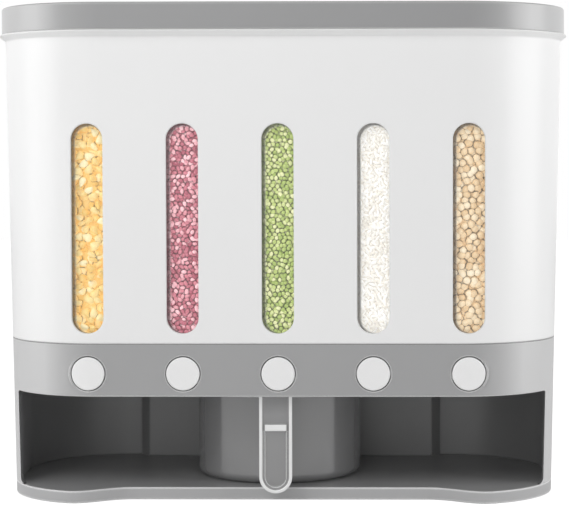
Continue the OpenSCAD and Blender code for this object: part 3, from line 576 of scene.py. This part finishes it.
FINISHES = {
    "casing": (casing_plastic, ["body_shell"]),
    "buttons": (casing_plastic, numbered("button")),
    "trim": (trim_plastic, ["lid"]),
    "base": (base_plastic, ["base_housing"]),
    "floor": (floor_plastic, ["tray_floor"]),
    "bin": (bin_plastic, ["slide_deck"] + numbered("cell_bin") + numbered("gate")),
    "panes": (pane_plastic, numbered("window")),
    "cup": (smoke_plastic, ["measuring_cup"]),
    "rubber": (rubber, ["lid_seal", "wall_pads"]),
    "metal": (brushed_steel, ["hinge_pins", "wall_bracket", "housing_screws"] + numbered("spring")),
}


def finish_group(key):
    """Makes one finish and gives it to all the solids that have it."""
    make, nodes = FINISHES[key]
    material = make()
    for node in nodes:
        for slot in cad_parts[node].material_slots:
            slot.material = material


# Grain

# Each food: half sizes of a grain and pitch between grains in metres, base shape, dark, middle and light colour,
# roughness, a painted glow in their own colour that stands in for light through thin skins, and painted gap shade
FOODS = {
    1: {
        "name": "corn", "half": (0.0036, 0.0024, 0.0040), "pitch": 0.0068, "shape": "kernel",
        "colours": ((0.88, 0.58, 0.16), (0.97, 0.76, 0.33), (1.0, 0.90, 0.58)),
        "rough": 0.38, "glow": 0.3, "gap": 0.3,
    },
    2: {
        "name": "adzuki_beans", "half": (0.0021, 0.0014, 0.0015), "pitch": 0.0033, "shape": "bean",
        "colours": ((0.36, 0.08, 0.12), (0.60, 0.20, 0.25), (0.92, 0.58, 0.62)),
        "rough": 0.16, "glow": 0.55, "gap": 0.12,
    },
    3: {
        "name": "mung_beans", "half": (0.0018, 0.0015, 0.0015), "pitch": 0.0031, "shape": "bean",
        "colours": ((0.32, 0.42, 0.10), (0.50, 0.58, 0.20), (0.78, 0.78, 0.46)),
        "rough": 0.24, "glow": 0.5, "gap": 0.12,
    },
    4: {
        "name": "rice", "half": (0.0029, 0.0010, 0.0010), "pitch": 0.0026, "shape": "rice",
        "colours": ((0.84, 0.80, 0.73), (0.93, 0.91, 0.87), (0.98, 0.97, 0.95)),
        "rough": 0.4, "glow": 0.36, "gap": 0.7,
    },
    5: {
        "name": "soybeans", "half": (0.0029, 0.0026, 0.0026), "pitch": 0.0051, "shape": "bean",
        "colours": ((0.78, 0.56, 0.32), (0.90, 0.72, 0.48), (0.97, 0.86, 0.66)),
        "rough": 0.3, "glow": 0.32, "gap": 0.2,
    },
}
# How far grains tumble out of their lying position, in radians of spread, and above 1 any way round
TUMBLE = {"rice": 0.5, "kernel": 0.7, "bean": 1.2}
TOP_TUMBLE = 1.2
GRAIN_SIZES = (0.9, 1.06)

# Every cell holds this line above its outlet
OUTLET_Y = -0.022
WALL_CLEARANCE = 0.0006
TOP_CLEARANCE = 0.0004
PANE_CLEARANCE = 0.0002
# The loose grains end this far inside a pane's sides, and begin this far above its foot
VIEW_MARGIN = 0.0008
FOOT_MARGIN = 0.002

# Steps and scatter of the loose grains, as shares of their pitch
PANE_ROW, PANE_SCATTER, LAYER_STEP = 0.82, 0.28, 0.62
LEAST_BACK = 0.0001
TOP_ROW, TOP_SCATTER, TOP_LIFT = 0.86, 0.25, (-0.35, 0.15)
# A grain feels for the pane at this share of its width
FEELER = 0.8

# The mass behind the loose grains: its levels and sides, how far it reaches below them, how much it keeps under
# and behind them as shares of their pitch, the least share of its own width, and its tone, darker as painted shade
BULK_LEVELS = 22
BULK_SIDES = 40
BULK_DEPTH = 0.010
BULK_UNDER, BULK_BEHIND = 0.9, 1.1
BULK_LEAST = 0.2
BULK_SHADE_TONE = 0.25

MOTTLE_SCALE = 700.0
GAP_REACH = 0.0016
# How open a spot is, from the bottom of a gap to the face of a grain, for the painted shade in the gaps
GAP_SHADE_OPEN = (0.2, 0.85)


def grain_mesh(food):
    """Points and faces of one grain about its middle."""
    mesh = bmesh.new()
    bmesh.ops.create_icosphere(mesh, subdivisions=2, radius=1.0)
    hx, hy, hz = food["half"]
    points = []
    for v in mesh.verts:
        x, y, z = v.co
        if food["shape"] == "kernel":
            width = 0.62 + 0.38 * max(-1.0, min(1.0, z * 1.1 + 0.35))
            crown = 0.16 * max(0.0, z) * (1 - x * x)
            points.append(Vector((x * hx * width, y * hy * (0.8 + 0.2 * z), (z - crown) * hz)))
        elif food["shape"] == "rice":
            taper = 1 - 0.35 * x ** 4
            points.append(Vector((x * hx, y * hy * taper, z * hz * taper + 0.0003 * x * x)))
        else:
            waist = 1 - 0.05 * max(0.0, -y)
            points.append(Vector((x * hx, y * hy * waist, z * hz)))
    faces = [[v.index for v in f.verts] for f in mesh.faces]
    mesh.free()
    return points, faces


class Heap:
    """The grain of one cell as it grows: its food, its random draws and its mesh"""

    def __init__(self, i, seed):
        self.food = FOODS[i]
        self.rng = random.Random(seed * 10 + i)
        self.grain = grain_mesh(self.food)
        self.points, self.faces, self.tones = [], [], []

    def add_grain(self, tumble, put):
        """Turns a grain at random, asks put() where it goes, and adds it if it has a place."""
        own, own_faces = self.grain
        rng = self.rng
        spin = rng.uniform(0, math.tau)
        tilt = rng.gauss(0, tumble)
        roll = rng.uniform(0, math.tau) if tumble > 1 else rng.gauss(0, tumble)
        turn = Matrix.Rotation(spin, 3, "Y") @ Matrix.Rotation(tilt, 3, "X") @ Matrix.Rotation(roll, 3, "Z")
        size = rng.uniform(*GRAIN_SIZES)
        turned = [turn @ p * size for p in own]
        middle = put(turned)
        if middle is None:
            return
        start = len(self.points)
        self.points += [middle + p for p in turned]
        self.faces += [[start + k for k in f] for f in own_faces]
        self.tones += [rng.random()] * len(own_faces)


def frame_tree(nodes):
    """One search tree over several solids of the frame."""
    points, faces = [], []
    for node in nodes:
        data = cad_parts[node].data
        start = len(points)
        points += [v.co.copy() for v in data.vertices]
        faces += [[start + k for k in f.vertices] for f in data.polygons]
    return BVHTree.FromPolygons(points, faces)


def cell_outline(tree, centre, z):
    """Points just inside the walls of a cell at one height."""
    ring = []
    for k in range(BULK_SIDES):
        angle = math.tau * (k + 0.5) / BULK_SIDES
        way = Vector((math.cos(angle), math.sin(angle), 0))
        hit = tree.ray_cast(Vector((centre, OUTLET_Y, z)), way)[3]
        ring.append(Vector((centre, OUTLET_Y, z)) + way * max(0.002, (hit or 0.01) - WALL_CLEARANCE))
    return ring


def add_bulk(heap, tree, centre, low, high, inward):
    """The mass of grain behind the loose ones: a closed loft that keeps clear of the walls by inward."""
    points, faces = heap.points, heap.faces
    for k in range(BULK_LEVELS + 1):
        z = low + (high - low) * k / BULK_LEVELS
        middle = Vector((centre, OUTLET_Y, z))
        for p in cell_outline(tree, centre, z):
            points.append(middle + (p - middle) * max(BULK_LEAST, 1 - inward / max((p - middle).length, 1e-6)))
    for k in range(BULK_LEVELS):
        for j in range(BULK_SIDES):
            a = k * BULK_SIDES + j
            b = k * BULK_SIDES + (j + 1) % BULK_SIDES
            faces.append([a, b, b + BULK_SIDES, a + BULK_SIDES])
    faces.append(list(range(BULK_SIDES))[::-1])
    faces.append([BULK_LEVELS * BULK_SIDES + j for j in range(BULK_SIDES)])
    # The mass takes a darker tone: painted shade among the grains deep behind the loose ones
    heap.tones += [BULK_SHADE_TONE] * len(faces)


def against_pane(tree, turned, x, z, back):
    """Where a turned grain stands when it touches the wall before it and is moved back from there."""
    near = None
    for dx in (min(p.x for p in turned), 0, max(p.x for p in turned)):
        hit = tree.ray_cast(Vector((x + dx * FEELER, OUTLET_Y, z)), Vector((0, -1, 0)))
        if hit[0] is not None and (near is None or hit[0].y > near):
            near = hit[0].y
    if near is None:
        return None
    return Vector((x, near + PANE_CLEARANCE + back - min(p.y for p in turned), z))


def fill_pane(heap, tree, centre, half_view, low, top, layers):
    """Rows of loose grains behind the pane, in layers that lie between each other."""
    rng, pitch = heap.rng, heap.food["pitch"]
    tumble = TUMBLE[heap.food["shape"]]
    rows = int((top - low) / (pitch * PANE_ROW)) + 1
    columns = int(2 * half_view / pitch) + 2
    for layer in range(layers):
        for row in range(rows):
            level = low + pitch * PANE_ROW * (row + 0.5 * layer)
            for column in range(columns):
                x = centre - half_view + pitch * (column + 0.5 * ((row + layer) % 2))
                x += rng.uniform(-PANE_SCATTER, PANE_SCATTER) * pitch
                z = level + rng.uniform(-PANE_SCATTER, PANE_SCATTER) * pitch
                back = layer * pitch * LAYER_STEP + rng.uniform(LEAST_BACK, PANE_SCATTER) * pitch
                x = min(max(x, centre - half_view), centre + half_view)
                heap.add_grain(tumble, lambda turned: against_pane(tree, turned, x, z, back))


def within_walls(tree, turned, x, y, z):
    """Says whether a turned grain keeps clear of the walls of its cell."""
    reach = max(p.length for p in turned)
    for way in (Vector((1, 0, 0)), Vector((-1, 0, 0)), Vector((0, 1, 0)), Vector((0, -1, 0))):
        spot, normal, _, distance = tree.ray_cast(Vector((x, y, z)), way)
        if spot is None or distance <= reach + TOP_CLEARANCE or normal.dot(way) >= 0:
            return False
    return True


def fill_top(heap, tree, centre, top):
    """Loose grains over the whole top of the mass."""
    rng, pitch = heap.rng, heap.food["pitch"]
    ring = cell_outline(tree, centre, top)
    x0, x1 = min(p.x for p in ring), max(p.x for p in ring)
    y0, y1 = min(p.y for p in ring), max(p.y for p in ring)
    columns = int((x1 - x0) / pitch)
    rows = int((y1 - y0) / (pitch * TOP_ROW))
    for row in range(rows + 1):
        for column in range(columns + 1):
            x = x0 + pitch * (column + 0.5 * (row % 2)) + rng.uniform(-TOP_SCATTER, TOP_SCATTER) * pitch
            y = y0 + pitch * TOP_ROW * row + rng.uniform(-TOP_SCATTER, TOP_SCATTER) * pitch
            place = Vector((x, y, top + rng.uniform(*TOP_LIFT) * pitch))
            heap.add_grain(TOP_TUMBLE, lambda turned: place if within_walls(tree, turned, x, y, top) else None)


def cell_middle(i):
    """Middle of a cell across; the corners cut the end panes short, so theirs is reckoned from the fourth."""
    at_end = i in (CELLS[0], CELLS[-1])
    low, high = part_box("window_4" if at_end else "window_%d" % i)
    return (i - 3 if at_end else 1) * (low.x + high.x) / 2


def fill_cell(i, tree, settings):
    """The grain of one cell: loose grains behind the window and on top, over a mass that fills the cell."""
    heap = Heap(i, settings.seed)
    food = heap.food
    pitch = food["pitch"]
    centre = cell_middle(i)
    whole_low, whole_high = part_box("window_3")
    half_view = (whole_high.x - whole_low.x) / 2 - VIEW_MARGIN
    pane_low, pane_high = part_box("window_%d" % i)
    low = pane_low.z + FOOT_MARGIN
    top = pane_high.z + settings.fill_over
    add_bulk(heap, tree, centre, low - BULK_DEPTH, top - pitch * BULK_UNDER, pitch * BULK_BEHIND)
    fill_pane(heap, tree, centre, half_view, low, top, settings.layers)
    fill_top(heap, tree, centre, top)
    data = bpy.data.meshes.new("food_%d" % i)
    data.from_pydata(heap.points, [], heap.faces)
    data.update()
    tone = data.attributes.new("tone", "FLOAT", "FACE")
    tone.data.foreach_set("value", heap.tones)
    data.polygons.foreach_set("use_smooth", [len(f) == 3 for f in heap.faces])
    piece = bpy.data.objects.new("food_%d_%s" % (i, food["name"]), data)
    bpy.context.scene.collection.objects.link(piece)
    piece.data.materials.append(grain_material(food))
    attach(piece, "housing")


def skin_group():
    """Mottled tone of a grain's skin, the fine relief of its mottles, and painted shade in the gaps between grains.
    """
    name = "Grain skin"
    if name in bpy.data.node_groups:
        return bpy.data.node_groups[name]
    tree, made = new_group(name, {"Gap": 1.0}, {"Tone": FLOAT, "Shade": FLOAT, "Height": FLOAT})
    made.update(place_nodes(tree, [
        ("own_tone", "ShaderNodeAttribute", {"attribute_name": "tone"}),
        ("place", "ShaderNodeTexCoord", {}),
        ("mottle", "ShaderNodeTexNoise", {("Scale",): MOTTLE_SCALE, ("Detail",): 3.0}),
        math_node("shift", "MULTIPLY_ADD", 0.5, -0.25),
        ("tone", "ShaderNodeMath", {"operation": "ADD", "use_clamp": True}),
        ("open", "ShaderNodeAmbientOcclusion",
         {"samples": SPOT_RAYS, "only_local": True, ("Distance",): GAP_REACH}),
        ("shade", "ShaderNodeMapRange", mapped(*GAP_SHADE_OPEN)),
    ]))
    join(tree, made, [
        (("place", "Object"), ("mottle", "Vector")),
        (("mottle", 0), ("shift", 0)),
        (("shift", 0), ("tone", 0)),
        (("own_tone", "Fac"), ("tone", 1)),
        (("tone", 0), ("out", "Tone")),
        (("mottle", 0), ("out", "Height")),
        (("open", "AO"), ("shade", 0)),
        (("in", "Gap"), ("shade", "To Min")),
        (("shade", 0), ("out", "Shade")),
    ])
    return tree


def grain_material(food):
    """Colour from grain to grain, with mottled skin, painted shade in the gaps and a painted glow."""
    material, tree = new_material("Grain " + food["name"].replace("_", " "))
    made = place_nodes(tree, [
        group_node("skin", skin_group(), {}, {"Gap": food["gap"]}),
        ("ramp", "ShaderNodeValToRGB", {}),
        ("shaded", "ShaderNodeMix", PRODUCT),
        ("bump", "ShaderNodeBump", {("Strength",): 1.0, ("Distance",): 0.0001}),
        ("shader", "ShaderNodeBsdfPrincipled",
         {("Roughness",): food["rough"], ("Emission Strength",): food["glow"]}),
        ("out", "ShaderNodeOutputMaterial", {}),
    ])
    ramp = made["ramp"].color_ramp
    dark, middle, light = food["colours"]
    ramp.elements[0].color = (*dark, 1)
    ramp.elements[1].color = (*light, 1)
    ramp.elements.new(0.5).color = (*middle, 1)
    join(tree, made, [
        (("skin", "Tone"), ("ramp", 0)),
        (("ramp", 0), ("shaded", MIX_A)),
        (("skin", "Shade"), ("shaded", MIX_B)),
        (("shaded", MIX_OUT), ("shader", "Base Color")),
        (("shaded", MIX_OUT), ("shader", "Emission Color")),
        (("skin", "Height"), ("bump", "Height")),
        (("bump", 0), ("shader", "Normal")),
        (("shader", 0), ("out", 0)),
    ])
    return material


# Stage

# Each light: its place, width and height in metres, the setting of its power and the share of it that it has
LIGHTS = {
    "key light": ((-0.9, -1.3, 1.5), (0.9, 0.9), "key", 1.0),
    "front light": ((-0.6, -2.0, 0.5), (1.3, 0.96), "front", 1.0),
    "left light": ((-1.5, -0.4, 0.5), (1.1, 1.4), "side", 0.62),
    "right light": ((1.5, -0.3, 0.5), (1.1, 1.4), "side", 0.93),
}
LIT_MIDDLE = Vector((0, 0, 0.17))
WHITE = (1, 1, 1, 1)
FLOOR_REACH = 4.0
FLOOR_BELOW = 0.0002
FLOOR_TONE = (0.93, 0.93, 0.93, 1)
# What the camera sees of the floor is this share of its glow, and the rest is its lit face
FLOOR_GLOW_SHARE = 0.75
FLOOR_GLOW = 1.3
SENSOR_WIDTH = 36
CAMERA_REACH = 30


def area_light(name, stage):
    """A soft light of the stage, aimed at the middle of the container."""
    spot, (width, height), setting, share = LIGHTS[name]
    lamp = bpy.data.lights.new(name, "AREA")
    lamp.shape = "RECTANGLE"
    lamp.size = width
    lamp.size_y = height
    lamp.energy = getattr(stage, setting) * share
    holder = bpy.data.objects.new(name, lamp)
    holder.location = spot
    holder.rotation_euler = (LIT_MIDDLE - Vector(spot)).to_track_quat("-Z", "Y").to_euler()
    bpy.context.scene.collection.objects.link(holder)


def camera_matrix(stage):
    """Turns the camera by its yaw, pitch and roll, from facing the wall."""
    yaw, pitch, roll = stage.camera_turn
    level = Vector((-math.sin(yaw), math.cos(yaw), 0))
    right = Vector((math.cos(yaw), math.sin(yaw), 0))
    up = Vector((0, 0, 1))
    forward = math.cos(pitch) * level + math.sin(pitch) * up
    up = math.cos(pitch) * up - math.sin(pitch) * level
    across = math.cos(roll) * right - math.sin(roll) * up
    upright = math.sin(roll) * right + math.cos(roll) * up
    turn = Matrix((across, upright, -forward)).transposed()
    return Matrix.Translation(Vector(stage.camera_place)) @ turn.to_4x4()


def add_camera(stage):
    """The camera at the photograph's place and angle."""
    lens = bpy.data.cameras.new("camera")
    lens.sensor_width = SENSOR_WIDTH
    lens.lens = stage.lens
    lens.shift_x, lens.shift_y = stage.camera_shift
    lens.clip_end = CAMERA_REACH
    camera = bpy.data.objects.new("camera", lens)
    camera.matrix_world = camera_matrix(stage)
    bpy.context.scene.collection.objects.link(camera)
    bpy.context.scene.camera = camera


def white_room(stage):
    """A room that is white to the eye, in reflections and through clear walls, and lights by its own strength."""
    world = bpy.data.worlds.new("White room")
    bpy.context.scene.world = world
    world.use_nodes = True
    tree = world.node_tree
    tree.nodes.clear()
    made = place_nodes(tree, [
        ("path", "ShaderNodeLightPath", {}),
        math_node("first", "MAXIMUM"),
        math_node("seen", "MAXIMUM"),
        ("level", "ShaderNodeMapRange", mapped(0.0, 1.0, low=stage.fill)),
        ("room", "ShaderNodeBackground", {("Color",): WHITE}),
        ("out", "ShaderNodeOutputWorld", {}),
    ])
    join(tree, made, [
        (("path", "Is Camera Ray"), ("first", 0)),
        (("path", "Is Glossy Ray"), ("first", 1)),
        (("first", 0), ("seen", 0)),
        (("path", "Is Transmission Ray"), ("seen", 1)),
        (("seen", 0), ("level", 0)),
        (("level", 0), ("room", "Strength")),
        (("room", 0), ("out", 0)),
    ])


def white_floor():
    """A plain floor that goes over into the room, with a soft trace of the container's shadow."""
    r = FLOOR_REACH
    data = bpy.data.meshes.new("floor")
    data.from_pydata([(-r, -r, 0), (r, -r, 0), (r, r, 0), (-r, r, 0)], [], [(0, 1, 2, 3)])
    floor = bpy.data.objects.new("floor", data)
    floor.location.z = -FLOOR_BELOW
    bpy.context.scene.collection.objects.link(floor)
    material, tree = new_material("White floor")
    made = place_nodes(tree, [
        ("path", "ShaderNodeLightPath", {}),
        math_node("share", "MULTIPLY", FLOOR_GLOW_SHARE),
        ("matte", "ShaderNodeBsdfDiffuse", {("Color",): FLOOR_TONE}),
        ("glow", "ShaderNodeEmission", {("Color",): WHITE, ("Strength",): FLOOR_GLOW}),
        ("mix", "ShaderNodeMixShader", {}),
        ("out", "ShaderNodeOutputMaterial", {}),
    ])
    join(tree, made, [
        (("path", "Is Camera Ray"), ("share", 0)),
        (("share", 0), ("mix", 0)),
        (("matte", 0), ("mix", 1)),
        (("glow", 0), ("mix", 2)),
        (("mix", 0), ("out", 0)),
    ])
    floor.data.materials.append(material)


# Operators

class FinishOperator:
    """Shared part of the operators that give solids their finish"""

    bl_options = {"REGISTER", "UNDO"}
    groups = ()

    def execute(self, context):
        for key in self.groups:
            finish_group(key)
        return {"FINISHED"}


class CONTAINER_OT_casing(FinishOperator, Operator):
    """Gives the casing its white moulded finish"""

    bl_idname = "container.casing"
    bl_label = "Casing"
    groups = ("casing",)


class CONTAINER_OT_trim(FinishOperator, Operator):
    """Gives the lid, the base and the tray floor their grey finish, and the gasket and pads their rubber"""

    bl_idname = "container.trim"
    bl_label = "Lid and base"
    groups = ("trim", "base", "floor", "rubber")


class CONTAINER_OT_windows(FinishOperator, Operator):
    """Makes the window panes clear"""

    bl_idname = "container.windows"
    bl_label = "Windows"
    groups = ("panes",)


class CONTAINER_OT_outlets(FinishOperator, Operator):
    """Gives the buttons, the gates, the bins and the deck their finish"""

    bl_idname = "container.outlets"
    bl_label = "Buttons, gates and bins"
    groups = ("buttons", "bin")


class CONTAINER_OT_metal(FinishOperator, Operator):
    """Gives the bracket, pins, screws and springs their steel"""

    bl_idname = "container.metal"
    bl_label = "Metal parts"
    groups = ("metal",)


class CONTAINER_OT_cup(FinishOperator, Operator):
    """Gives the measuring cup its smoky translucent plastic"""

    bl_idname = "container.cup"
    bl_label = "Measuring cup"
    groups = ("cup",)


class CONTAINER_OT_food(Operator):
    """Fills the five cells with grain"""

    bl_idname = "container.food"
    bl_label = "Grain"
    bl_options = {"REGISTER", "UNDO"}

    def execute(self, context):
        tree = frame_tree(["body_shell"] + numbered("cell_bin") + numbered("window"))
        for i in CELLS:
            fill_cell(i, tree, context.scene.container_food)
        return {"FINISHED"}


class CONTAINER_OT_stage(Operator):
    """Sets the white floor, the lights and the camera"""

    bl_idname = "container.stage"
    bl_label = "Stage"
    bl_options = {"REGISTER", "UNDO"}

    def execute(self, context):
        stage = context.scene.container_stage
        white_room(stage)
        white_floor()
        for name in LIGHTS:
            area_light(name, stage)
        add_camera(stage)
        context.scene.view_settings.view_transform = "Standard"
        return {"FINISHED"}


class CONTAINER_PT_panel(Panel):
    """Lists the pieces of the container"""

    bl_label = "Cereal container"
    bl_idname = "CONTAINER_PT_panel"
    bl_space_type = "VIEW_3D"
    bl_region_type = "UI"
    bl_category = "Container"

    def draw(self, context):
        for operator in OPERATORS:
            self.layout.operator(operator.bl_idname)
        for holder in SETTINGS:
            group = getattr(context.scene, holder)
            box = self.layout.box()
            for name in group.__annotations__:
                box.prop(group, name)


OPERATORS = (
    CONTAINER_OT_casing,
    CONTAINER_OT_trim,
    CONTAINER_OT_windows,
    CONTAINER_OT_outlets,
    CONTAINER_OT_metal,
    CONTAINER_OT_cup,
    CONTAINER_OT_food,
    CONTAINER_OT_stage,
)
SETTINGS = {
    "container_colours": ContainerColours,
    "container_food": ContainerFood,
    "container_stage": ContainerStage,
}


def register():
    for name, group in SETTINGS.items():
        bpy.utils.register_class(group)
        setattr(bpy.types.Scene, name, PointerProperty(type=group))
    for operator in OPERATORS:
        bpy.utils.register_class(operator)
    bpy.utils.register_class(CONTAINER_PT_panel)


def unregister():
    bpy.utils.unregister_class(CONTAINER_PT_panel)
    for operator in reversed(OPERATORS):
        bpy.utils.unregister_class(operator)
    for name, group in SETTINGS.items():
        delattr(bpy.types.Scene, name)
        bpy.utils.unregister_class(group)


def main():
    register()
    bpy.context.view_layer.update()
    for operator in OPERATORS:
        area, name = operator.bl_idname.split(".")
        getattr(getattr(bpy.ops, area), name)()


if __name__ == "__main__":
    main()
